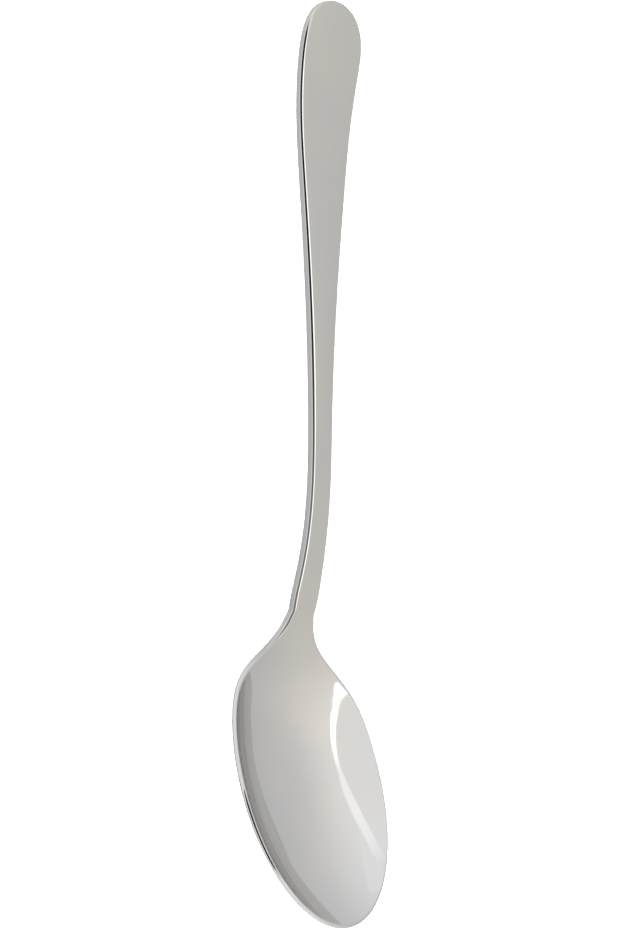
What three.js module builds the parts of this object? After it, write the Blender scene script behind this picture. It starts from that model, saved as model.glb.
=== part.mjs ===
// Tablespoon: one sheet of polished steel, drawn as bowl, neck and handle that meet on flat cuts.
// Millimetres, +Z up. The spoon lies on a table at z = 0 with the bowl open upwards and its tip towards -Y.
// It is drawn level with the bowl's rim, with y measured from the tip, and then laid down to rest.
import * as THREE from "three";
import { mergeVertices } from "three/addons/utils/BufferGeometryUtils.js";

// Plan sizes
const BOWL_LENGTH = 72.2; // tip to the neck's first flat cut
const NECK_LENGTH = 15.1;
const HANDLE_LENGTH = 117.7;
const BOWL_WIDTH = 43.6;
const BOWL_LEAN = 0.027; // moves the bowl's widest place towards the tip
const EGG_SHORTFALL = 5; // the bowl's egg outline would close this far before the neck
const SHOULDER_LENGTH = 38.7; // the egg outline runs into the neck over this length
const SHOULDER_POWER = 3.5; // a higher power keeps the egg outline for longer
const NECK_WIDTH = 6.1; // where the handle starts, the narrowest place
const NECK_FLARE = 1.4; // the neck widens by this towards the bowl
const FLARE_LENGTH = 27.8; // and it does so over this length before the handle
const HANDLE_WIDTH = 19.4;
const HANDLE_WIDEST_FROM_END = 2.5;
const HANDLE_SWELL = 2.9; // a higher power keeps the handle slim for longer
const END_ROUND = 17; // length of the handle's rounded end

// Section sizes
const BOWL_DEPTH = 8.6;
const WALL_POWER = 1.35; // a higher power makes the hollow flatter in the middle and steeper at the rim
const HOLLOW_FADE = 31; // the hollow runs out over this length before the neck
const BOWL_SHEET = 0.95;
const NECK_SHEET = 1.9;
const HANDLE_SHEET = 1.8;
const HANDLE_CROWN = 0.15; // the handle's upper face bulges by this in the middle
const CROWN_LENGTH = 40; // the crown grows over this length past the neck
const EDGE_RADIUS = 0.5;
const EDGE_SHARE = 0.42; // the edge rounds off at most this share of the sheet
const REST_FLAT = 0.15; // height worn flat where the spoon rests

// Side view: four bends, each with a start, a length and the slope that it adds
const SWEEP_START = 42.2; // before the neck, where the bowl's rim starts to sweep up
const SWEEP_LENGTH = 26;
const SWEEP_SLOPE = 0.06;
const RISE_START = 16.5; // before the neck, where the sheet starts to climb out of the bowl
const RISE_LENGTH = 11;
const RISE_SLOPE = 0.635;
const LEVEL_START = 24; // before the neck, where a long bend starts to level it out again
const LEVEL_LENGTH = 62.1;
const LEVEL_SLOPE = -0.434;
const LIFT_START = 44.5; // before the handle's end, which turns up
const LIFT_LENGTH = 58.2;
const LIFT_SLOPE = 0.35;

// Mesh counts
const FACE_STEPS = 10; // from the middle line to the edge
const EDGE_STEPS = 3; // from the face to the edge's side
const TIP_STEPS = 20;
const SHOULDER_STEPS = 24;
const NECK_STEPS = 7;
const STEM_STEPS = 18;
const END_STEPS = 12;
const TIP_INSET = 7; // the middle line starts this far inside the tip
const END_INSET = 5; // and stops this far inside the handle's end
const INSET_REACH = 4; // the insets die out over this many times their length
const NUDGE = 1e-3; // step for slopes taken as differences
const MERGE = 1e-4; // points closer than this are one
const STEEPEST = Math.PI / 6; // the tilt at rest is looked for up to this angle
const HALVINGS = 50;

const LENGTH = BOWL_LENGTH + NECK_LENGTH + HANDLE_LENGTH;
const BENDS = [
  { from: BOWL_LENGTH - SWEEP_START, length: SWEEP_LENGTH, slope: SWEEP_SLOPE },
  { from: BOWL_LENGTH - RISE_START, length: RISE_LENGTH, slope: RISE_SLOPE },
  { from: BOWL_LENGTH - LEVEL_START, length: LEVEL_LENGTH, slope: LEVEL_SLOPE },
  { from: LENGTH - LIFT_START, length: LIFT_LENGTH, slope: LIFT_SLOPE },
];
const neckStart = BOWL_LENGTH;
const handleStart = BOWL_LENGTH + NECK_LENGTH;
const endStart = LENGTH - END_ROUND;
const eggHalf = (BOWL_LENGTH - EGG_SHORTFALL) / 2;
const bowlHalf = BOWL_WIDTH / 2;
const rimWall = Math.atan((2 * WALL_POWER * BOWL_DEPTH) / bowlHalf); // the hollow's steepness at the rim

const clamp01 = (t) => THREE.MathUtils.clamp(t, 0, 1);
const smooth = (t) => THREE.MathUtils.smootherstep(t, 0, 1);
const signedRoot = (v) => Math.sign(v) * Math.sqrt(Math.abs(v));

// The integral of the smooth step, which carries on as a straight line past 1
function ramp(t) {
  const c = clamp01(t);
  return c ** 6 - 3 * c ** 5 + 2.5 * c ** 4 + Math.max(t - 1, 0);
}

// Height of the sheet's middle line in the side view
function profile(y) {
  return BENDS.reduce((z, bend) => z + bend.slope * bend.length * ramp((y - bend.from) / bend.length), 0);
}

// Half-width of the outline: an egg that runs into a strip, which flares at the neck and swells to a rounded
// end; negative past the ends
function halfWidth(y) {
  const u = (y - eggHalf) / eggHalf;
  const egg = bowlHalf * signedRoot(1 - u * u) * (1 - BOWL_LEAN * u);
  const past = Math.max(y - handleStart, 0) / (HANDLE_LENGTH - HANDLE_WIDEST_FROM_END);
  const swell = past ** HANDLE_SWELL * (1 + HANDLE_SWELL - HANDLE_SWELL * past);
  const round = signedRoot(1 - Math.max((y - endStart) / END_ROUND, 0) ** 4);
  const flare = NECK_FLARE * smooth((handleStart - y) / FLARE_LENGTH);
  const strip = (NECK_WIDTH + flare + (HANDLE_WIDTH - NECK_WIDTH) * swell) * 0.5 * round;
  const join = smooth((y - neckStart) / SHOULDER_LENGTH + 1) ** SHOULDER_POWER;
  return egg * (1 - join) + strip * join;
}

// How much of the hollow is left: 1 in the bowl, 0 from the neck on
const hollow = (y) => 1 - smooth((y - neckStart) / HOLLOW_FADE + 1);

function sheetAt(y) {
  const grown = 1 - hollow(y);
  const past = clamp01((y - handleStart) / HANDLE_LENGTH);
  return BOWL_SHEET + (NECK_SHEET - BOWL_SHEET) * grown + (HANDLE_SHEET - NECK_SHEET) * smooth(past);
}

// The middle of the sheet: a hollow is pressed below the profile, deepest where the outline is widest
function middle(x, y) {
  const slope = (profile(y + NUDGE) - profile(y - NUDGE)) / (2 * NUDGE);
  const half = halfWidth(y);
  const outward = Math.max(1 - (half * Math.abs(half) - x * x) / bowlHalf ** 2, 0);
  const pressed = BOWL_DEPTH * (1 - outward ** WALL_POWER);
  const up = new THREE.Vector3(0, -slope, 1).normalize();
  return new THREE.Vector3(x, y, profile(y)).addScaledVector(up, -pressed * hollow(y));
}

function normalAt(x, y) {
  const across = middle(x + NUDGE, y).sub(middle(x - NUDGE, y));
  const along = middle(x, y + NUDGE).sub(middle(x, y - NUDGE));
  return across.cross(along).normalize();
}

// One face point: the sheet's upper (side 1) or lower (side -1) face, with its rounded edge
function facePoint(x, y, side, edge, sink) {
  const crown = HANDLE_CROWN * smooth((y - handleStart) / CROWN_LENGTH);
  const bulge = side > 0 ? crown * (1 - (x / Math.max(halfWidth(y), edge)) ** 2) : 0;
  const lift = sheetAt(y) / 2 - sink + Math.max(bulge, 0);
  return middle(x, y).addScaledVector(normalAt(x, y), side * lift);
}

// Outline point and its inward direction at a parameter that runs evenly round the ends
function outlineAt(station) {
  const point = (s) => {
    const y = station.y(s);
    return new THREE.Vector2(halfWidth(y) * Math.sign(station.side(s)), y);
  };
  const here = point(station.at);
  const tangent = point(station.at + NUDGE).sub(point(station.at - NUDGE)).normalize();
  return { here, inward: new THREE.Vector2(-tangent.y, tangent.x) };
}

// Rings of points round the sheet, one for each station from the tip to the handle's end
function ringAt(station) {
  const { here, inward } = outlineAt(station);
  const edge = Math.min(EDGE_RADIUS, EDGE_SHARE * sheetAt(here.y));
  const depth = edge * Math.cos(rimWall * hollow(here.y));
  const foot = here.clone().addScaledVector(inward, depth);
  const tipInset = TIP_INSET * Math.max(1 - here.y / (TIP_INSET * INSET_REACH), 0) ** 2;
  const endInset = END_INSET * Math.max(1 - (LENGTH - here.y) / (END_INSET * INSET_REACH), 0) ** 2;
  const spine = new THREE.Vector2(0, here.y + tipInset - endInset);
  const half = (side) => {
    const points = [];
    for (let k = 0; k < FACE_STEPS; k++) {
      const p = spine.clone().lerp(foot, k / FACE_STEPS);
      points.push(facePoint(p.x, p.y, side, edge, 0));
    }
    for (let k = 0; k <= EDGE_STEPS; k++) {
      const turn = (k / EDGE_STEPS) * (Math.PI / 2);
      const p = foot.clone().addScaledVector(inward, -depth * Math.sin(turn));
      points.push(facePoint(p.x, p.y, side, edge, edge * (1 - Math.cos(turn))));
    }
    return points;
  };
  const right = [...half(1), ...half(-1).reverse()];
  const mirrored = right.slice(1, -1).reverse();
  return [...right, ...mirrored.map((p) => new THREE.Vector3(-p.x, p.y, p.z))];
}

// Stations from one place to another; the ones at the tip and the end crowd towards the outline's turn
function stations(from, to, steps, crowd) {
  const quarter = Math.PI / 2;
  const span = to - from;
  const spread = {
    tip: (s) => from + span * (1 - Math.cos(s * quarter)),
    end: (s) => from + span * Math.sin(s * quarter),
    even: (s) => from + span * s,
  }[crowd];
  const side = { tip: (s) => s, end: (s) => 1 - s, even: () => 1 }[crowd];
  return Array.from({ length: steps + 1 }, (_, k) => ({ at: k / steps, y: spread, side }));
}

// A closed body through rings: quads between them, and a flat cap on each cut end
function bodyOf(rings, capFirst, capLast) {
  const size = rings[0].length;
  const half = size / 2;
  const index = [];
  const quad = (a, b, c, d) => index.push(a, b, c, a, c, d);
  for (let i = 0; i + 1 < rings.length; i++) {
    for (let r = 0; r < size; r++) {
      const next = (r + 1) % size;
      quad(i * size + r, i * size + next, (i + 1) * size + next, (i + 1) * size + r);
    }
  }
  const cap = (ring, facing) => {
    const base = ring * size;
    const top = (c) => base + ((c + size) % size);
    const bottom = (c) => base + half - c;
    const reach = Math.floor((half - 1) / 2);
    for (let c = -reach; c < reach; c++) {
      const corners = [top(c), bottom(c), bottom(c + 1), top(c + 1)];
      quad(...(facing ? corners : corners.reverse()));
    }
  };
  if (capFirst) cap(0, true);
  if (capLast) cap(rings.length - 1, false);
  const geometry = new THREE.BufferGeometry().setFromPoints(rings.flat());
  geometry.setIndex(index);
  const merged = mergeVertices(geometry, MERGE);
  const kept = [];
  for (let i = 0; i < merged.index.count; i += 3) {
    const [a, b, c] = merged.index.array.slice(i, i + 3);
    if (a !== b && b !== c && c !== a) kept.push(a, b, c);
  }
  merged.setIndex(kept);
  merged.computeVertexNormals();
  return merged;
}

const bowlRings = [
  ...stations(0, eggHalf, TIP_STEPS, "tip"),
  ...stations(eggHalf, neckStart, SHOULDER_STEPS, "even").slice(1),
].map(ringAt);
const neckRings = stations(neckStart, handleStart, NECK_STEPS, "even").map(ringAt);
const handleRings = [
  ...stations(handleStart, endStart, STEM_STEPS, "even"),
  ...stations(endStart, LENGTH, END_STEPS, "end").slice(1),
].map(ringAt);

// Laying down: the tilt at which the bowl's belly and the handle touch the table together
const lowest = (rings, tilt) =>
  Math.min(...rings.flat().map((p) => p.z * Math.cos(tilt) - p.y * Math.sin(tilt)));
let flatter = 0;
let steeper = STEEPEST;
for (let i = 0; i < HALVINGS; i++) {
  const tilt = (flatter + steeper) / 2;
  if (lowest(handleRings, tilt) > lowest(bowlRings, tilt)) flatter = tilt;
  else steeper = tilt;
}
const ground = lowest(bowlRings, flatter) + REST_FLAT;
const laid = [...bowlRings, ...neckRings, ...handleRings].flat();
laid.forEach((p) => p.applyAxisAngle(new THREE.Vector3(1, 0, 0), -flatter));
const box = new THREE.Box3().setFromPoints(laid);
const middleY = (box.min.y + box.max.y) / 2;
laid.forEach((p) => p.set(p.x, p.y - middleY, Math.max(p.z - ground, 0)));

const steel = new THREE.MeshStandardMaterial({ color: 0xcac8c4, metalness: 1, roughness: 0.15 });
const spoon = new THREE.Group();
const add = (name, rings, capFirst, capLast) => {
  const mesh = new THREE.Mesh(bodyOf(rings, capFirst, capLast), steel.clone());
  mesh.name = name;
  spoon.add(mesh);
};
add("bowl", bowlRings, false, true);
add("neck", neckRings, true, true);
add("handle", handleRings, true, false);

export default spoon;
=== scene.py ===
"""Tablespoon of polished steel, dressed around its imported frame.

The steel is one sheet with thickness. It is drawn level with the bowl's rim, with y measured from the tip,
and is then laid down so that the belly and the handle rest on the floor. Everything is in metres.
"""
import math

import bpy
import numpy as np
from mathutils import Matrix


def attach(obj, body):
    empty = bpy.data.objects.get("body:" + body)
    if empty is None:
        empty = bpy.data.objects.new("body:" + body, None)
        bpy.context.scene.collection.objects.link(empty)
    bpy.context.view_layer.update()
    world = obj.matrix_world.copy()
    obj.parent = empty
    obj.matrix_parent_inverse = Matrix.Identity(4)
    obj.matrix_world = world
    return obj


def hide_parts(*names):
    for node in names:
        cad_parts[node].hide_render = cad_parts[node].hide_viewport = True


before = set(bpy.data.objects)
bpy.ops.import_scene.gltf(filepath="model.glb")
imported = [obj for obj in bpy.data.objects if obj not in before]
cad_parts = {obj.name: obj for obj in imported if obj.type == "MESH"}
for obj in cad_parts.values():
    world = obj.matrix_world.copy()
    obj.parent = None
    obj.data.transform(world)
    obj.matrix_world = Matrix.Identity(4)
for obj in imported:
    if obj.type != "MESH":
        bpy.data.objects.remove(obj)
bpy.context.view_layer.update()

bl_info = {
    "name": "Tablespoon",
    "version": (1, 0, 0),
    "blender": (4, 5, 0),
    "location": "View3D > Sidebar > Spoon",
    "description": "Builds a polished steel tablespoon and a small studio around it",
    "category": "Object",
}

BODY = "root"

# Mesh counts
FACE_STEPS = 52  # from the middle line to the edge
EDGE_STEPS = 8  # round the edge, from the face to the side
TIP_STEPS = 110
SHOULDER_STEPS = 110
NECK_STEPS = 40
STEM_STEPS = 130
END_STEPS = 56
CURVE_STEPS = 12  # from one point of a card's outline to the next
EDGE_CARD_STEPS = 160  # points along a card over the edge

# Mesh layout
TIP_STOP = 0.007  # at the tip the middle line stops this far inside the outline
TIP_FAN = 0.028  # length from the tip over which the lines to the edge fan out
END_STOP = 0.005  # the same two at the handle's end
END_FAN = 0.020
MERGE = 1e-7  # points that round to the same multiples of this are one

# Steps of the arithmetic
NUDGE = 2e-6  # for slopes taken as differences
FACE_NUDGE = 10 * NUDGE  # for slopes of the faces, which hold such slopes already
OUTLINE_NUDGE = 1e-3  # for tangents, as a share of a stretch of the outline
TINY = 1e-30  # nothing is divided by a shorter length
STEEPEST = math.pi / 6  # the tilt at rest is looked for up to this angle
HALVINGS = 40

# Noise in the polish
NOISE_DETAIL = 3.0
CLOUD_SPAN = (0.35, 0.65)  # noise of the coolest and of the warmest patches

# Floor, camera and room
FLOOR_REACH = 10.0
FILM_HEIGHT = 24.0  # millimetres
NEAREST_SEEN = 0.01
MAX_BOUNCES = 16
GLOSSY_BOUNCES = 12
UNDER_POWER = 2.0  # a higher power narrows the darker room below
WARM_POWER = 2.0  # a higher power narrows the room's warm side

# Overhead strips: places x, y and widths
NEAR_STRIP = (
    (-0.001, -0.275, 0.043), (-0.012, -0.252, 0.057), (-0.03, -0.215, 0.072), (-0.058, -0.165, 0.075),
    (-0.077, -0.11, 0.08), (-0.093, -0.04, 0.075), (-0.107, 0.03, 0.073), (-0.114, 0.1, 0.073),
    (-0.119, 0.17, 0.072), (-0.119, 0.225, 0.072), (-0.117, 0.27, 0.068), (-0.12, 0.33, 0.067),
    (-0.137, 0.395, 0.07))
FAR_STRIP = (
    (-0.137, 0.395, 0.07), (-0.16, 0.46, 0.1), (-0.19, 0.53, 0.12), (-0.235, 0.61, 0.13),
    (-0.285, 0.705, 0.15), (-0.35, 0.845, 0.16), (-0.4, 0.95, 0.16), (-0.51, 1.28, 0.19),
    (-0.65, 1.85, 0.22), (-0.79, 2.45, 0.25))

# Small leaf-shaped card: places x, y of its long sides
LEAF_OUTER = (
    (0.0136, -0.0547), (0.0135, -0.05615), (0.0135, -0.0573), (0.0135, -0.05835),
    (0.01335, -0.0593), (0.01325, -0.06), (0.01315, -0.0606), (0.01295, -0.0611))
LEAF_INNER = (
    (0.01405, -0.05425), (0.01435, -0.05525), (0.0146, -0.05615), (0.01445, -0.0573),
    (0.01415, -0.0584), (0.01385, -0.0594), (0.01355, -0.0602), (0.01325, -0.0608))

# Wide pale card: places x, y of its right side, its rise over the strips and its width
WALL_SIDE = (
    (-0.308, 0.831), (-0.227, 1.003), (-0.186, 1.281), (-0.089, 1.712), (-0.032, 2.064), (0.084, 2.569),
    (0.258, 3.426))
WALL_RISE = 0.01
WALL_WIDTH = 1.0

# Low grey card that stands on the floor: points of its top
HILL_TOP = (
    (0.95, 0.21, 0.14), (0.925, 0.28, 0.165), (0.9, 0.345, 0.19), (0.88, 0.38, 0.2), (0.86, 0.41, 0.17),
    (0.845, 0.44, 0.04))

# Cards over the left edge: where along the sheet they start and stop, how long their points are, and how
# far across and up from the edge their two sides lie, in flag heights
EDGE_CARDS = {
    "edge_dark": {"start": 0.060, "stop": 0.200, "point": 0.005, "sides": ((-5.5, 1.0), (1.39, 1.0))},
    "edge_bright": {"start": 0.060, "stop": 0.200, "point": 0.014, "sides": ((1.39, 1.0), (2.4, 1.0))},
    "rim_dark": {"start": 0.008, "stop": 0.028, "point": 0.004, "sides": ((-3.84, 0.64), (-0.64, 3.2))},
}
FLAG_LEAD = 0.3  # they lie this many flag heights further along Y

# Places along Y between which a card's light changes
NEAR_FADE = (0.2, 0.4)
FAR_FADE = (0.7, 2.3)
WALL_FADE = (0.8, 1.1)
EDGE_FADE = (-0.03, 0.03)


def length(name, default, description):
    """A property for a size in metres."""
    return bpy.props.FloatProperty(
        name=name, description=description, default=default, unit="LENGTH", precision=5)


def amount(name, default, description, subtype="NONE"):
    """A property for a plain number."""
    return bpy.props.FloatProperty(
        name=name, description=description, default=default, subtype=subtype, precision=4)


def tint(name, default, description):
    """A property for a linear colour."""
    return bpy.props.FloatVectorProperty(
        name=name, description=description, default=default, subtype="COLOR", size=3, min=0.0)


class SpoonSizes(bpy.types.PropertyGroup):
    """The sizes of the steel sheet."""
    bowl_length: length("Bowl length", 0.0722, "Tip to the neck's first flat cut")
    neck_length: length("Neck length", 0.0151, "Between the neck's two flat cuts")
    handle_length: length("Handle length", 0.1177, "From the neck's second flat cut to the end")
    bowl_width: length("Bowl width", 0.0436, "Widest place of the bowl")
    bowl_lean: amount("Bowl lean", 0.027, "Moves the bowl's widest place towards the tip")
    egg_shortfall: length("Egg shortfall", 0.005, "The egg outline would close this far before the neck")
    shoulder_length: length("Shoulder length", 0.0387, "The egg runs into the neck over this length")
    shoulder_power: amount("Shoulder power", 3.5, "A higher power keeps the egg outline for longer")
    neck_width: length("Neck width", 0.0061, "Where the handle starts, the narrowest place")
    neck_flare: length("Neck flare", 0.0014, "The neck widens by this towards the bowl")
    flare_length: length("Flare length", 0.0278, "The neck widens over this length before the handle")
    handle_width: length("Handle width", 0.0194, "Widest place of the handle")
    widest_from_end: length("Widest from end", 0.0025, "Distance of the swell's top from the handle's end")
    handle_swell: amount("Handle swell", 2.9, "A higher power keeps the handle slim for longer")
    end_round: length("End round", 0.017, "Length of the handle's rounded end")
    bowl_depth: length("Bowl depth", 0.0086, "Depth of the middle of the sheet below the rim")
    wall_power: amount("Wall power", 1.35, "A higher power makes the hollow flatter and its walls steeper")
    hollow_fade: length("Hollow fade", 0.031, "The hollow runs out over this length before the neck")
    bowl_sheet: length("Bowl sheet", 0.00095, "Thickness in the bowl")
    neck_sheet: length("Neck sheet", 0.0019, "Thickness in the neck")
    handle_sheet: length("Handle sheet", 0.0018, "Thickness at the handle's end")
    handle_crown: length("Handle crown", 0.00015, "The handle's upper face bulges by this in the middle")
    crown_length: length("Crown length", 0.040, "The crown grows over this length past the neck")
    edge_radius: length("Edge radius", 0.0005, "Rounding of the sheet's edges")
    edge_share: amount("Edge share", 0.42, "The edge rounds off at most this share of the sheet")
    rest_flat: length("Rest flat", 0.00015, "Height worn flat where the spoon rests")
    sweep_start: length("Sweep start", 0.0422, "Before the neck, where the bowl's rim starts to sweep up")
    sweep_length: length("Sweep length", 0.026, "Length of that bend")
    sweep_slope: amount("Sweep slope", 0.06, "Slope that the bend adds")
    rise_start: length("Rise start", 0.0165, "Before the neck, where the sheet starts to climb")
    rise_length: length("Rise length", 0.011, "Length of that bend")
    rise_slope: amount("Rise slope", 0.635, "Slope that the bend adds")
    level_start: length("Level start", 0.024, "Before the neck, where the sheet starts to level out")
    level_length: length("Level length", 0.0621, "Length of that bend")
    level_slope: amount("Level slope", -0.434, "Slope that the bend adds")
    lift_start: length("Lift start", 0.0445, "Before the handle's end, which turns up")
    lift_length: length("Lift length", 0.0582, "Length of that bend")
    lift_slope: amount("Lift slope", 0.35, "Slope that the bend adds")


class SteelFinish(bpy.types.PropertyGroup):
    """The look of the polished steel."""
    cool: tint("Cool steel", (0.571, 0.574, 0.580), "Steel colour in the cooler patches")
    warm: tint("Warm steel", (0.592, 0.586, 0.575), "Steel colour in the warmer patches")
    # Painted shade: this colour and the two places below darken the neck and handle, in place of the dimmer
    # light that they mirror
    worn: tint("Darkened steel", (0.925, 0.925, 0.91), "Share of the colour that is left where hands dull it")
    painted_shade_from: length("Darkened from", -0.060, "Where along the spoon the dulled steel starts")
    painted_shade_to: length("Darkened to", -0.038, "Where along the spoon all the steel is dulled")
    roughness: amount("Roughness", 0.04, "Roughness of the polish where it is cleanest")
    haze: amount("Haze", 0.02, "Roughness that cloudy patches add")
    cloud_scale: amount("Cloud scale", 70.0, "A higher scale makes the cloudy patches smaller")
    marks: amount("Polish marks", 0.02, "Roughness that the fine polish marks add")
    mark_scale: amount("Mark scale", 2600.0, "A higher scale makes the polish marks finer")
    mark_stretch: amount("Mark stretch", 0.03, "A lower value draws the marks out along the spoon")
    mark_depth: length("Mark depth", 0.000002, "Height of the fine polish marks")


class StudioSettings(bpy.types.PropertyGroup):
    """Camera, floor and light."""
    camera_place: bpy.props.FloatVectorProperty(
        name="Camera place", description="Where the camera stands",
        default=(-0.28984, -0.10401, 0.29252), size=3, subtype="TRANSLATION", unit="LENGTH")
    camera_turn: bpy.props.FloatVectorProperty(
        name="Camera turn", description="How the camera is turned",
        default=tuple(math.radians(a) for a in (9.284, -46.008, 5.75)), size=3, subtype="EULER")
    lens: amount("Lens", 48.98, "Focal length in millimetres for a frame 24 mm high")
    floor_colour: tint("Floor colour", (0.40, 0.40, 0.40), "Colour of the plain floor")
    sun_light: amount("Sun light", 22.0, "Strength of the soft sun over the camera's shoulder")
    sun_width: amount("Sun width", math.radians(15), "How wide the soft sun is", "ANGLE")
    room_level: amount("Room level", 1.167, "Light of the room away from its dark side")
    room_drop: amount("Room drop", 0.432, "How much less light comes from the middle of the dark side")
    room_power: amount("Room power", 1.28, "A higher power narrows the dark side")
    room_dark_side: bpy.props.FloatVectorProperty(
        name="Dark side", description="Way to the middle of the room's dark side",
        default=(0.983, 0.178, 0.034), size=3, subtype="XYZ")
    room_under: amount("Room under", 0.68, "How much less light comes from straight below")
    room_warm_side: bpy.props.FloatVectorProperty(
        name="Warm side", description="Way to the room's warm side",
        default=(0.30, -0.15, 0.94), size=3, subtype="XYZ")
    room_cool: tint("Room cool", (1.0, 1.0, 1.005), "Colour of the room's light away from its warm side")
    room_warm: tint("Room warm", (1.04, 1.0, 0.94), "Colour of the room's light on its warm side")
    strip_height: length("Strip height", 0.8, "Height of the overhead strips")
    glint_height: length("Glint height", 0.012, "Height of the small leaf-shaped card that ends the streak")
    glint_lean: length("Glint lean", 0.0003, "How much higher or lower that card's long sides are")
    strip_light: amount("Strip light", 2.2, "Strength of the near strip and of the leaf-shaped card")
    far_strip_light: amount("Far strip light", 1.45, "Strength of the far strip")
    flag_height: length("Flag height", 0.0005, "Height of the edge's dark and bright cards over the edge")
    edge_dark_light: amount("Edge dark", 0.02, "Light of the dark cards")
    edge_pale_light: amount("Edge pale", 0.3, "Light of the edge's dark card at the neck")
    edge_bright_light: amount("Edge bright", 2.1, "Strength of the edge's bright card")
    wall_light: amount("Wall light", 1.20, "Strength of the wide pale card beside the far strip")
    hill_light: amount("Hill light", 0.61, "Strength of the low grey card that widens the dark crescent")


class Sheet:
    """The steel sheet's surface as functions of x across and y along, on whole arrays."""

    def __init__(self, sizes):
        for name in sizes.__annotations__:
            setattr(self, name, float(getattr(sizes, name)))
        self.handle_start = self.bowl_length + self.neck_length
        self.length = self.handle_start + self.handle_length
        self.end_start = self.length - self.end_round
        self.egg_half = (self.bowl_length - self.egg_shortfall) / 2
        self.bowl_half = self.bowl_width / 2
        self.rim_wall = math.atan(2 * self.wall_power * self.bowl_depth / self.bowl_half)
        self.bends = (
            (self.bowl_length - self.sweep_start, self.sweep_length, self.sweep_slope),
            (self.bowl_length - self.rise_start, self.rise_length, self.rise_slope),
            (self.bowl_length - self.level_start, self.level_length, self.level_slope),
            (self.length - self.lift_start, self.lift_length, self.lift_slope),
        )

    @staticmethod
    def smooth(t):
        """Step from 0 to 1: 6 t^5 - 15 t^4 + 10 t^3, flat outside."""
        t = np.clip(t, 0, 1)
        return t ** 3 * (10 - 15 * t + 6 * t * t)

    @staticmethod
    def ramp(t):
        """Integral of the smooth step, a straight line past 1."""
        c = np.clip(t, 0, 1)
        return c ** 6 - 3 * c ** 5 + 2.5 * c ** 4 + np.maximum(t - 1, 0)

    @staticmethod
    def signed_root(v):
        """Square root that keeps the sign."""
        return np.sign(v) * np.sqrt(np.abs(v))

    def profile(self, y):
        """Height of the middle line: each bend adds its slope times its length times the ramp."""
        return sum(slope * run * self.ramp((y - start) / run) for start, run, slope in self.bends)

    def slope(self, y):
        """Slope of the middle line: each bend adds its slope times the smooth step."""
        return sum(slope * self.smooth((y - start) / run) for start, run, slope in self.bends)

    def half_width(self, y):
        """Outline: an egg, root(1 - u^2)(1 - lean u), that runs into a strip, which flares at the neck,
        swells as t^n (1 + n - n t) and closes in a rounded end, root(1 - t^4)."""
        u = (y - self.egg_half) / self.egg_half
        egg = self.bowl_half * self.signed_root(1 - u * u) * (1 - self.bowl_lean * u)
        past = np.maximum(y - self.handle_start, 0) / (self.handle_length - self.widest_from_end)
        swell = past ** self.handle_swell * (1 + self.handle_swell - self.handle_swell * past)
        end = self.signed_root(1 - np.maximum((y - self.end_start) / self.end_round, 0) ** 4)
        flare = self.neck_flare * self.smooth((self.handle_start - y) / self.flare_length)
        strip = (self.neck_width + flare + (self.handle_width - self.neck_width) * swell) / 2 * end
        join = self.smooth((y - self.bowl_length) / self.shoulder_length + 1) ** self.shoulder_power
        return egg * (1 - join) + strip * join

    def hollow(self, y):
        """How much of the hollow is left: 1 in the bowl, 0 from the neck on."""
        return 1 - self.smooth((y - self.bowl_length) / self.hollow_fade + 1)

    def thickness(self, y):
        """Sheet thickness: bowl to neck as the hollow runs out, then smoothly to the handle's end."""
        past = (y - self.handle_start) / self.handle_length
        thick = self.bowl_sheet + (self.neck_sheet - self.bowl_sheet) * (1 - self.hollow(y))
        return thick + (self.handle_sheet - self.neck_sheet) * self.smooth(past)

    def edge(self, y):
        """Radius of the edge's rounding."""
        return np.minimum(self.edge_radius, self.edge_share * self.thickness(y))

    def middle(self, x, y):
        """Middle of the sheet: the hollow is depth (1 - v^power) below the profile, where
        v = 1 - (w^2 - x^2) / b^2 with the half-width w here and the bowl's half-width b, so it is deepest
        where the outline is widest."""
        slope = self.slope(y)
        half = self.half_width(y)
        outward = np.maximum(1 - (half * np.abs(half) - x * x) / self.bowl_half ** 2, 0)
        pressed = self.bowl_depth * (1 - outward ** self.wall_power)
        drop = pressed * self.hollow(y) / np.sqrt(1 + slope * slope)
        return np.stack([x, y + slope * drop, self.profile(y) - drop], -1)

    def normal(self, x, y):
        """Upward normal of the middle surface, from differences."""
        across = self.middle(x + NUDGE, y) - self.middle(x - NUDGE, y)
        along = self.middle(x, y + NUDGE) - self.middle(x, y - NUDGE)
        return unit(np.cross(across, along))

    def face(self, x, y, side, sink=0.0):
        """Upper (side 1) or lower (side -1) face: half the thickness, less a sink, off the middle. On the
        handle's upper face the crown adds crown (1 - (x / w)^2), with the half-width w."""
        lift = self.thickness(y) / 2 - sink
        if side > 0:
            crown = self.handle_crown * self.smooth((y - self.handle_start) / self.crown_length)
            share = x / np.maximum(self.half_width(y), self.edge(y))
            lift = lift + np.maximum(crown * (1 - share ** 2), 0)
        return self.middle(x, y) + self.normal(x, y) * (side * lift)[..., None]

    def face_normal(self, x, y, side):
        """Outward normal of a face, from differences."""
        across = self.face(x + FACE_NUDGE, y, side) - self.face(x - FACE_NUDGE, y, side)
        along = self.face(x, y + FACE_NUDGE, side) - self.face(x, y - FACE_NUDGE, side)
        return unit(np.cross(across, along)) * side

    def stations(self, start, stop, steps, crowd="even"):
        """Outline points and inward directions; those at the tip and the end crowd along a quarter turn,
        past which the outline goes on along the other side."""
        spread = {
            "tip": lambda s: start + (stop - start) * (1 - np.cos(s * math.pi / 2)),
            "end": lambda s: start + (stop - start) * np.sin(s * math.pi / 2),
            "even": lambda s: start + (stop - start) * s,
        }[crowd]
        side = {"tip": np.sign, "end": lambda s: np.sign(1 - s), "even": np.ones_like}[crowd]

        def outline(s):
            y = spread(s)
            return np.stack([self.half_width(y) * side(s), y], -1)

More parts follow.
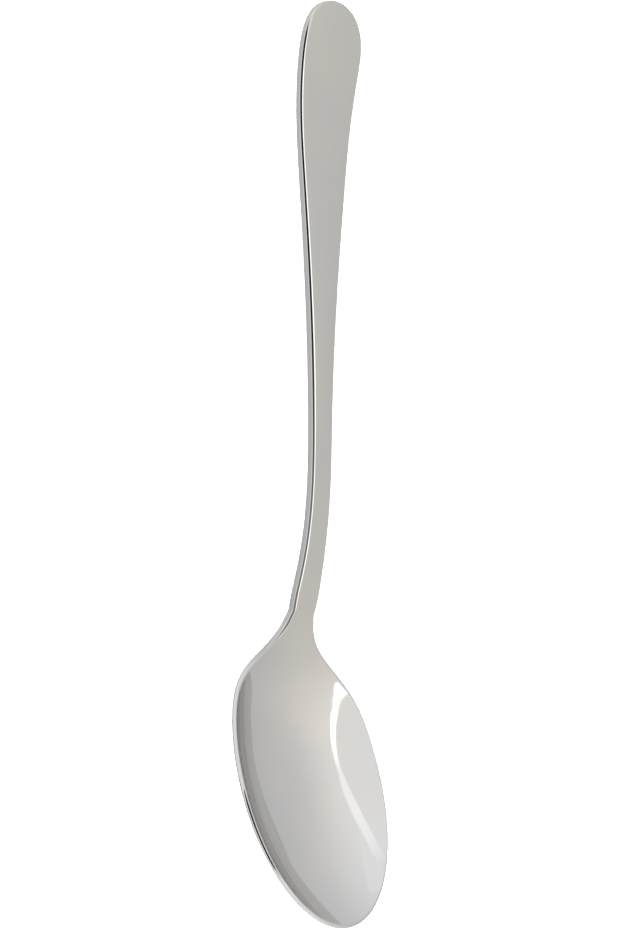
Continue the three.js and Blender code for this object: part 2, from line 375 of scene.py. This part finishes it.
        s = np.linspace(0, 1, steps + 1)
        tangent = unit(outline(s + OUTLINE_NUDGE) - outline(s - OUTLINE_NUDGE))
        return outline(s), np.stack([-tangent[:, 1], tangent[:, 0]], -1)

    def rings(self, here, inward):
        """Points and normals round the sheet, one ring for each station.

        A ring runs from the top's middle line straight to the edge, round it by a quarter circle, down the
        side and back along the underside, and is then mirrored. At the tip and the end the middle line
        stops short, so that the straight lines fan out to the outline.
        """
        y = here[:, 1]
        edge = self.edge(y)
        depth = edge * np.cos(self.rim_wall * self.hollow(y))
        foot = here + inward * depth[:, None]
        tip_inset = TIP_STOP * np.maximum(1 - y / TIP_FAN, 0) ** 2
        end_inset = END_STOP * np.maximum(1 - (self.length - y) / END_FAN, 0) ** 2
        spine = np.stack([np.zeros_like(y), y + tip_inset - end_inset], -1)
        share = np.linspace(0, 1, FACE_STEPS + 1)[:-1]
        turn = np.linspace(0, math.pi / 2, EDGE_STEPS + 1)
        flat = spine[:, None] + (foot - spine)[:, None] * share[:, None]
        bend = foot[:, None] - inward[:, None] * (depth[:, None] * np.sin(turn))[..., None]
        sink = edge[:, None] * (1 - np.cos(turn))
        ahead = here - inward * NUDGE
        behind = here + inward * NUDGE
        out = unit(self.middle(ahead[:, 0], ahead[:, 1]) - self.middle(behind[:, 0], behind[:, 1]))
        points, normals = {}, {}
        for side in (1, -1):
            at_foot = self.face_normal(foot[:, 0], foot[:, 1], side)
            rounded = at_foot[:, None] * np.cos(turn)[:, None] + out[:, None] * np.sin(turn)[:, None]
            points[side] = np.concatenate([
                self.face(flat[..., 0], flat[..., 1], side),
                self.face(bend[..., 0], bend[..., 1], side, sink)], 1)
            normals[side] = np.concatenate([
                self.face_normal(flat[..., 0], flat[..., 1], side), unit(rounded)], 1)
        mirror = np.array([-1.0, 1.0, 1.0])
        right = np.concatenate([points[1], points[-1][:, ::-1]], 1)
        right_normals = np.concatenate([normals[1], normals[-1][:, ::-1]], 1)
        left = (right * mirror)[:, -2:0:-1]
        left_normals = (right_normals * mirror)[:, -2:0:-1]
        return np.concatenate([right, left], 1), np.concatenate([right_normals, left_normals], 1)

    def bowl_stations(self):
        """Stations from the tip to the neck."""
        tip = self.stations(0, self.egg_half, TIP_STEPS, "tip")
        shoulder = self.stations(self.egg_half, self.bowl_length, SHOULDER_STEPS)
        return tuple(np.concatenate([a, b[1:]]) for a, b in zip(tip, shoulder))

    def neck_stations(self):
        """Stations from the bowl to the handle."""
        return self.stations(self.bowl_length, self.handle_start, NECK_STEPS)

    def handle_stations(self):
        """Stations from the neck to the handle's end."""
        stem = self.stations(self.handle_start, self.end_start, STEM_STEPS)
        end = self.stations(self.end_start, self.length, END_STEPS, "end")
        return tuple(np.concatenate([a, b[1:]]) for a, b in zip(stem, end))

    def rest(self):
        """How the sheet is laid down: the tilt, found by halving, at which belly and handle touch the
        ground together, the ground's height, and the middle of the length."""
        bowl = self.rings(*self.bowl_stations())[0].reshape(-1, 3)
        handle = self.rings(*self.handle_stations())[0].reshape(-1, 3)

        def lowest(points, tilt):
            return (points[:, 2] * math.cos(tilt) - points[:, 1] * math.sin(tilt)).min()

        flatter, steeper = 0.0, STEEPEST
        for _ in range(HALVINGS):
            tilt = (flatter + steeper) / 2
            if lowest(handle, tilt) > lowest(bowl, tilt):
                flatter = tilt
            else:
                steeper = tilt
        both = np.concatenate([bowl, handle])
        along = both[:, 1] * math.cos(flatter) + both[:, 2] * math.sin(flatter)
        return flatter, lowest(bowl, flatter) + self.rest_flat, (along.min() + along.max()) / 2


def unit(v):
    """Vectors of length 1."""
    return v / np.maximum(np.linalg.norm(v, axis=-1, keepdims=True), TINY)


def turned(v, tilt):
    """Vectors turned about X so that the handle's end goes down."""
    c, s = math.cos(tilt), math.sin(tilt)
    return np.stack([v[..., 0], v[..., 1] * c + v[..., 2] * s, v[..., 2] * c - v[..., 1] * s], -1)


def laid_down(points, tilt, ground, middle):
    """Points of the sheet at rest on the floor, about the origin."""
    return turned(points, tilt) - np.array([0.0, middle, ground])


def ring_faces(rings, size):
    """Corner numbers of the quads between rings."""
    ring, place = np.meshgrid(np.arange(rings - 1) * size, np.arange(size), indexing="ij")
    after = (place + 1) % size
    corners = [ring + place, ring + after, ring + size + after, ring + size + place]
    return np.stack(corners, -1).reshape(-1, 4)


def cap_faces(ring, size, flip):
    """Corner numbers of the quads that close a cut ring, from top to underside."""
    half = size // 2
    reach = (half - 1) // 2
    c = np.arange(-reach, reach)
    base = ring * size
    quads = base + np.stack([c % size, half - c, half - c - 1, (c + 1) % size], -1)
    return quads[:, ::-1] if flip else quads


def sheet_piece(name, sheet, stations, cut_first, cut_last):
    """A closed piece of the sheet along its stations, laid down and worn flat at the floor, with the
    sheet's own normals."""
    points, normals = sheet.rings(*stations)
    rings, size = points.shape[:2]
    tilt, ground, middle = sheet.rest()
    points = laid_down(points, tilt, ground, middle)
    points[..., 2] = np.maximum(points[..., 2], 0)
    normals = turned(normals, tilt).reshape(-1, 3)
    quads = ring_faces(rings, size)
    corner_normals = normals[quads]
    for cut, ring, flip, sign in ((cut_first, 0, False, -1.0), (cut_last, rings - 1, True, 1.0)):
        if cut:
            cap = cap_faces(ring, size, flip)
            slope = sheet.slope(stations[0][ring, 1])
            facing = turned(unit(np.array([0.0, 1.0, slope])), tilt) * sign
            quads = np.concatenate([quads, cap])
            corner_normals = np.concatenate([corner_normals, np.broadcast_to(facing, cap.shape + (3,))])
    return piece_from(name, points.reshape(-1, 3), quads, corner_normals)


def piece_from(name, points, quads, corner_normals):
    """A mesh object from points and quads: doubles merged, quads with two like corners made triangles."""
    keys = np.round(points / MERGE).astype(np.int64)
    _, first, number = np.unique(keys, axis=0, return_index=True, return_inverse=True)
    corners = number.reshape(-1)[quads]
    double = corners == np.roll(corners, -1, 1)
    keep = ~double
    counts = keep.sum(1)
    whole = counts >= 3
    keep &= whole[:, None]
    starts = np.concatenate([[0], np.cumsum(counts[whole])[:-1]])
    mesh = bpy.data.meshes.new(name)
    mesh.vertices.add(len(first))
    mesh.vertices.foreach_set("co", points[first].astype(np.float32).ravel())
    mesh.loops.add(int(keep.sum()))
    mesh.loops.foreach_set("vertex_index", corners[keep].astype(np.int32))
    mesh.polygons.add(int(whole.sum()))
    mesh.polygons.foreach_set("loop_start", starts.astype(np.int32))
    mesh.polygons.foreach_set("use_smooth", np.ones(int(whole.sum()), bool))
    mesh.update(calc_edges=True)
    mesh.normals_split_custom_set(corner_normals[keep].tolist())
    return added(name, mesh)


def added(name, data):
    """A new object in the scene, at the origin."""
    thing = bpy.data.objects.new(name, data)
    bpy.context.scene.collection.objects.link(thing)
    return thing


class Shade:
    """A socket of a node tree that can be used in Python expressions."""

    def __init__(self, tree, socket=None):
        self.tree = tree
        self.socket = socket

    def node(self, kind, settings=None, inputs=None, output=0):
        """A new node: its settings are set first, then its sockets get values or links."""
        made = self.tree.nodes.new(kind)
        for key, value in (settings or {}).items():
            setattr(made, key, value)
        for key, value in (inputs or {}).items():
            if isinstance(value, Shade):
                self.tree.links.new(value.socket, made.inputs[key])
            else:
                made.inputs[key].default_value = value
        return Shade(self.tree, made.outputs[output] if len(made.outputs) else None)

    def math(self, operation, first, second):
        """A Math node on two sockets or numbers."""
        return self.node("ShaderNodeMath", {"operation": operation}, {0: first, 1: second})

    def __add__(self, other):
        return self.math("ADD", self, other)

    def __radd__(self, other):
        return self.math("ADD", other, self)

    def __sub__(self, other):
        return self.math("SUBTRACT", self, other)

    def __rsub__(self, other):
        return self.math("SUBTRACT", other, self)

    def __mul__(self, other):
        return self.math("MULTIPLY", self, other)

    def __rmul__(self, other):
        return self.math("MULTIPLY", other, self)


def colour(rgb):
    """A colour with its alpha."""
    return tuple(rgb) + (1.0,)


def new_material(name):
    """A new material with no nodes, and the start of its node tree."""
    material = bpy.data.materials.new(name)
    material.use_nodes = True
    material.node_tree.nodes.clear()
    return material, Shade(material.node_tree)


def polished_steel(finish):
    """Polished steel: cooler and warmer cloudy patches, which also add haze, fine polish marks that run
    along the spoon, and painted shade that darkens the neck and handle, in place of the dimmer light they
    mirror."""
    name = "polished_steel"
    if name in bpy.data.materials:
        return bpy.data.materials[name]
    material, start = new_material(name)
    place = start.node("ShaderNodeTexCoord", output="Object")
    drawn_out = start.node(
        "ShaderNodeMapping", inputs={"Vector": place, "Scale": (1.0, finish.mark_stretch, 1.0)})
    marks = start.node(
        "ShaderNodeTexNoise",
        inputs={"Vector": drawn_out, "Scale": finish.mark_scale, "Detail": NOISE_DETAIL})
    clouds = start.node(
        "ShaderNodeTexNoise",
        inputs={"Vector": place, "Scale": finish.cloud_scale, "Detail": NOISE_DETAIL})
    patches = start.node(
        "ShaderNodeMapRange",
        inputs={"Value": clouds, "From Min": CLOUD_SPAN[0], "From Max": CLOUD_SPAN[1]})
    unshaded = start.node(
        "ShaderNodeMix", {"data_type": "RGBA"},
        {"Factor": patches, "A": colour(finish.cool), "B": colour(finish.warm)}, output="Result")
    # Painted shade: towards the neck and handle the colour is darkened, in place of the dimmer light that
    # they mirror
    along = start.node("ShaderNodeSeparateXYZ", inputs={0: place}, output="Y")
    shaded = start.node(
        "ShaderNodeMapRange", {"interpolation_type": "SMOOTHSTEP"},
        {"Value": along, "From Min": finish.painted_shade_from, "From Max": finish.painted_shade_to})
    steel = start.node(
        "ShaderNodeMix", {"data_type": "RGBA", "blend_type": "MULTIPLY"},
        {"Factor": shaded, "A": unshaded, "B": colour(finish.worn)}, output="Result")
    bump = start.node(
        "ShaderNodeBump", inputs={"Strength": 1.0, "Distance": finish.mark_depth, "Height": marks})
    surface = start.node("ShaderNodeBsdfPrincipled", inputs={
        "Base Color": steel,
        "Metallic": 1.0,
        "Roughness": finish.roughness + finish.haze * clouds + finish.marks * marks,
        "Normal": bump,
    })
    start.node("ShaderNodeOutputMaterial", inputs={"Surface": surface})
    return material


def place_piece(piece, node):
    """Gives a piece its steel, attaches it to the body, and hides the imported part of the node that it
    replaces.
    """
    piece.data.materials.append(polished_steel(bpy.context.scene.steel_finish))
    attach(piece, BODY)
    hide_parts(node)


class SPOON_OT_bowl(bpy.types.Operator):
    """The bowl, from the tip to the end of the shoulders"""
    bl_idname = "spoon.bowl"
    bl_label = "Bowl"

    def execute(self, context):
        sheet = Sheet(context.scene.spoon_sizes)
        piece = sheet_piece("bowl_steel", sheet, sheet.bowl_stations(), False, True)
        place_piece(piece, "bowl")
        return {"FINISHED"}


class SPOON_OT_neck(bpy.types.Operator):
    """The narrow neck between bowl and handle"""
    bl_idname = "spoon.neck"
    bl_label = "Neck"

    def execute(self, context):
        sheet = Sheet(context.scene.spoon_sizes)
        piece = sheet_piece("neck_steel", sheet, sheet.neck_stations(), True, True)
        place_piece(piece, "neck")
        return {"FINISHED"}


class SPOON_OT_handle(bpy.types.Operator):
    """The flat handle with its rounded end"""
    bl_idname = "spoon.handle"
    bl_label = "Handle"

    def execute(self, context):
        sheet = Sheet(context.scene.spoon_sizes)
        piece = sheet_piece("handle_steel", sheet, sheet.handle_stations(), True, False)
        place_piece(piece, "handle")
        return {"FINISHED"}


def glow(name, light, faded=None, fade=None, one_sided=False):
    """A glowing material for a card. With a faded light it changes to that between two places along Y, and
    a one-sided card is clear from behind."""
    material, start = new_material(name)
    shown = colour([light] * 3)
    if faded is not None:
        place = start.node("ShaderNodeTexCoord", output="Object")
        along = start.node("ShaderNodeSeparateXYZ", inputs={0: place}, output="Y")
        share = start.node(
            "ShaderNodeMapRange", {"interpolation_type": "SMOOTHSTEP"},
            {"Value": along, "From Min": fade[0], "From Max": fade[1]})
        shown = start.node(
            "ShaderNodeMix", {"data_type": "RGBA"},
            {"Factor": share, "A": shown, "B": colour([faded] * 3)}, output="Result")
    lamp = start.node("ShaderNodeEmission", inputs={"Color": shown})
    if one_sided:
        behind = start.node("ShaderNodeNewGeometry", output="Backfacing")
        clear = start.node("ShaderNodeBsdfTransparent")
        lamp = start.node("ShaderNodeMixShader", inputs={0: behind, 1: lamp, 2: clear})
    start.node("ShaderNodeOutputMaterial", inputs={"Surface": lamp})
    return material


def spline(points):
    """A smooth curve through points: between b and c, with neighbours a and d, and t from 0 to 1, it is
    (2b + (c - a)t + (2a - 5b + 4c - d)t^2 + (3b - a - 3c + d)t^3) / 2."""
    p = np.asarray(points, float)
    padded = np.concatenate([2 * p[:1] - p[1:2], p, 2 * p[-1:] - p[-2:-1]])
    t = np.linspace(0, 1, CURVE_STEPS, endpoint=False)[:, None]
    a, b, c, d = (padded[k:len(padded) - 3 + k, None] for k in range(4))
    square = 2 * a - 5 * b + 4 * c - d
    cube = 3 * b - a - 3 * c + d
    curve = (2 * b + (c - a) * t + square * t ** 2 + cube * t ** 3) / 2
    return np.concatenate([curve.reshape(-1, p.shape[1]), p[-1:]])


def band(name, left, right, material):
    """A card between two lines of points, which shows only in polished surfaces."""
    count = len(left)
    i = np.arange(count - 1)
    quads = np.stack([i, i + count, i + count + 1, i + 1], -1)
    mesh = bpy.data.meshes.new(name)
    mesh.from_pydata(np.concatenate([left, right]).tolist(), [], quads.tolist())
    mesh.materials.append(material)
    card = added(name, mesh)
    for rays in ("camera", "diffuse", "shadow", "transmission", "volume_scatter"):
        setattr(card, f"visible_{rays}", False)


def level(points, height):
    """A smooth line through places x, y, all at one height."""
    curve = spline(points)
    return np.column_stack([curve, np.full(len(curve), height)])


def ribbon(name, path, height, material):
    """A level card along a smooth path of places x, y and widths w."""
    curve = spline(path)
    along = unit(np.gradient(curve[:, :2], axis=0))
    reach = np.stack([-along[:, 1], along[:, 0]], -1) * curve[:, 2:] / 2
    rise = np.full((len(curve), 1), height)
    sides = [np.concatenate([curve[:, :2] + side * reach, rise], 1) for side in (-1, 1)]
    band(name, *sides, material)


class SPOON_OT_studio(bpy.types.Operator):
    """A pale floor, soft light from all round, cards that the steel mirrors, and the camera"""
    bl_idname = "spoon.studio"
    bl_label = "Studio"

    def execute(self, context):
        studio = context.scene.studio_settings
        self.floor(studio)
        self.room(context.scene, studio)
        self.sun(studio)
        self.strips(studio)
        self.walls(studio)
        self.edge_cards(studio, Sheet(context.scene.spoon_sizes))
        self.camera(context.scene, studio)
        context.scene.view_settings.view_transform = "Standard"
        context.scene.cycles.max_bounces = MAX_BOUNCES
        context.scene.cycles.glossy_bounces = GLOSSY_BOUNCES
        return {"FINISHED"}

    def floor(self, studio):
        """A floor that the camera sees; in the steel the room goes on below the horizon instead."""
        mesh = bpy.data.meshes.new("floor")
        sides = ((-1, -1), (1, -1), (1, 1), (-1, 1))
        corners = [(x * FLOOR_REACH, y * FLOOR_REACH, 0.0) for x, y in sides]
        mesh.from_pydata(corners, [], [(0, 1, 2, 3)])
        material, start = new_material("pale_floor")
        matt = start.node("ShaderNodeBsdfDiffuse", inputs={"Color": colour(studio.floor_colour)})
        start.node("ShaderNodeOutputMaterial", inputs={"Surface": matt})
        mesh.materials.append(material)
        floor = added("floor", mesh)
        floor.visible_glossy = False

    def room(self, scene, studio):
        """Light from the way w: (level - drop max(w.dark, 0)^power)(1 - under max(-w.z, 0)^UNDER_POWER), in
        a colour that goes from cool to warm with max(w.warm, 0)^WARM_POWER."""
        world = bpy.data.worlds.new("room")
        scene.world = world
        world.use_nodes = True
        world.node_tree.nodes.clear()
        start = Shade(world.node_tree)
        way = start.node("ShaderNodeTexCoord", output="Generated")

        def share(side, power):
            facing = start.node(
                "ShaderNodeVectorMath", {"operation": "DOT_PRODUCT"},
                {0: way, 1: tuple(side)}, output="Value")
            return start.math("POWER", start.math("MAXIMUM", facing, 0.0), power)

        dark = share(studio.room_dark_side, studio.room_power)
        below = share((0.0, 0.0, -1.0), UNDER_POWER)
        warm = share(studio.room_warm_side, WARM_POWER)
        tone = start.node(
            "ShaderNodeMix", {"data_type": "RGBA"},
            {"Factor": warm, "A": colour(studio.room_cool), "B": colour(studio.room_warm)}, output="Result")
        light = start.node("ShaderNodeBackground", inputs={
            "Color": tone,
            "Strength": (studio.room_level - studio.room_drop * dark) * (1.0 - studio.room_under * below)})
        start.node("ShaderNodeOutputWorld", inputs={"Surface": light})

    def sun(self, studio):
        """A soft sun over the camera's shoulder, so that shadows fall behind the spoon."""
        sun = bpy.data.lights.new("soft_sun", "SUN")
        sun.energy = studio.sun_light
        sun.angle = studio.sun_width
        lamp = added("soft_sun", sun)
        lamp.rotation_euler = studio.camera_turn
        lamp.visible_glossy = False

    def strips(self, studio):
        """Two overhead strips that the bowl mirrors as its streak, a bright one and a paler one that goes
        on from it, and a small leaf-shaped card, low over the bowl, that ends the streak."""
        bright = glow("strip_glow", studio.strip_light, studio.far_strip_light, NEAR_FADE)
        ribbon("strip", NEAR_STRIP, studio.strip_height, bright)
        leaf = glow("glint_glow", studio.strip_light, one_sided=True)
        band("glint", level(LEAF_OUTER, studio.glint_height - studio.glint_lean),
             level(LEAF_INNER, studio.glint_height + studio.glint_lean), leaf)
        paler = glow("far_strip_glow", studio.far_strip_light, studio.room_level, FAR_FADE)
        ribbon("far_strip", FAR_STRIP, studio.strip_height, paler)

    def walls(self, studio):
        """A wide pale card beside the far strip, and a low grey one that widens the dark crescent."""
        pale = glow("wall_glow", studio.room_level, studio.wall_light, WALL_FADE)
        side = level(WALL_SIDE, studio.strip_height + WALL_RISE)
        band("wall", side, side - np.array([WALL_WIDTH, 0.0, 0.0]), pale)
        top = spline(HILL_TOP)
        foot = top * np.array([1.0, 1.0, 0.0])
        band("hill", foot, top, glow("hill_glow", studio.hill_light))

    def edge_cards(self, studio, sheet):
        """Dark and bright cards over the left edge of the handle and the rim, whose rounding mirrors them
        as lines. Each card runs to a point at both ends."""
        rest = sheet.rest()
        glows = {
            "edge_dark": glow("edge_dark_glow", studio.edge_pale_light, studio.edge_dark_light, EDGE_FADE),
            "edge_bright": glow("edge_bright_glow", studio.edge_bright_light),
            "rim_dark": glow("rim_dark_glow", studio.edge_dark_light),
        }
        for name, card in EDGE_CARDS.items():
            y = np.linspace(card["start"], card["stop"], EDGE_CARD_STEPS)
            edge = laid_down(sheet.face(-sheet.half_width(y), y, 1), *rest)
            left, right = (
                edge + studio.flag_height * np.array([across, FLAG_LEAD, up])
                for across, up in card["sides"])
            from_ends = np.minimum(y - card["start"], card["stop"] - y)
            centre = (left + right) / 2
            half = (right - left) / 2 * np.clip(from_ends / card["point"], 0, 1)[:, None]
            band(name, centre - half, centre + half, glows[name])

    def camera(self, scene, studio):
        """The camera, with its place, turn and lens from the settings."""
        lens = bpy.data.cameras.new("camera")
        lens.sensor_fit = "VERTICAL"
        lens.sensor_height = FILM_HEIGHT
        lens.lens = studio.lens
        lens.clip_start = NEAREST_SEEN
        camera = added("camera", lens)
        camera.location = studio.camera_place
        camera.rotation_euler = studio.camera_turn
        scene.camera = camera


class SPOON_PT_maker(bpy.types.Panel):
    """Sizes, finish and studio of the spoon"""
    bl_idname = "SPOON_PT_maker"
    bl_label = "Tablespoon"
    bl_space_type = "VIEW_3D"
    bl_region_type = "UI"
    bl_category = "Spoon"

    def draw(self, context):
        for group in (context.scene.spoon_sizes, context.scene.steel_finish, context.scene.studio_settings):
            box = self.layout.box()
            for name in group.__annotations__:
                box.prop(group, name)
        for operator in OPERATORS:
            self.layout.operator(operator.bl_idname)


OPERATORS = (SPOON_OT_bowl, SPOON_OT_neck, SPOON_OT_handle, SPOON_OT_studio)
GROUPS = {"spoon_sizes": SpoonSizes, "steel_finish": SteelFinish, "studio_settings": StudioSettings}
CLASSES = (*GROUPS.values(), *OPERATORS, SPOON_PT_maker)


def register():
    for cls in CLASSES:
        bpy.utils.register_class(cls)
    for name, group in GROUPS.items():
        setattr(bpy.types.Scene, name, bpy.props.PointerProperty(type=group))


def unregister():
    for name in GROUPS:
        delattr(bpy.types.Scene, name)
    for cls in reversed(CLASSES):
        bpy.utils.unregister_class(cls)


def main():
    """Registers the add-on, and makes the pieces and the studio."""
    register()
    bpy.ops.spoon.bowl()
    bpy.ops.spoon.neck()
    bpy.ops.spoon.handle()
    bpy.ops.spoon.studio()


if __name__ == "__main__":
    main()
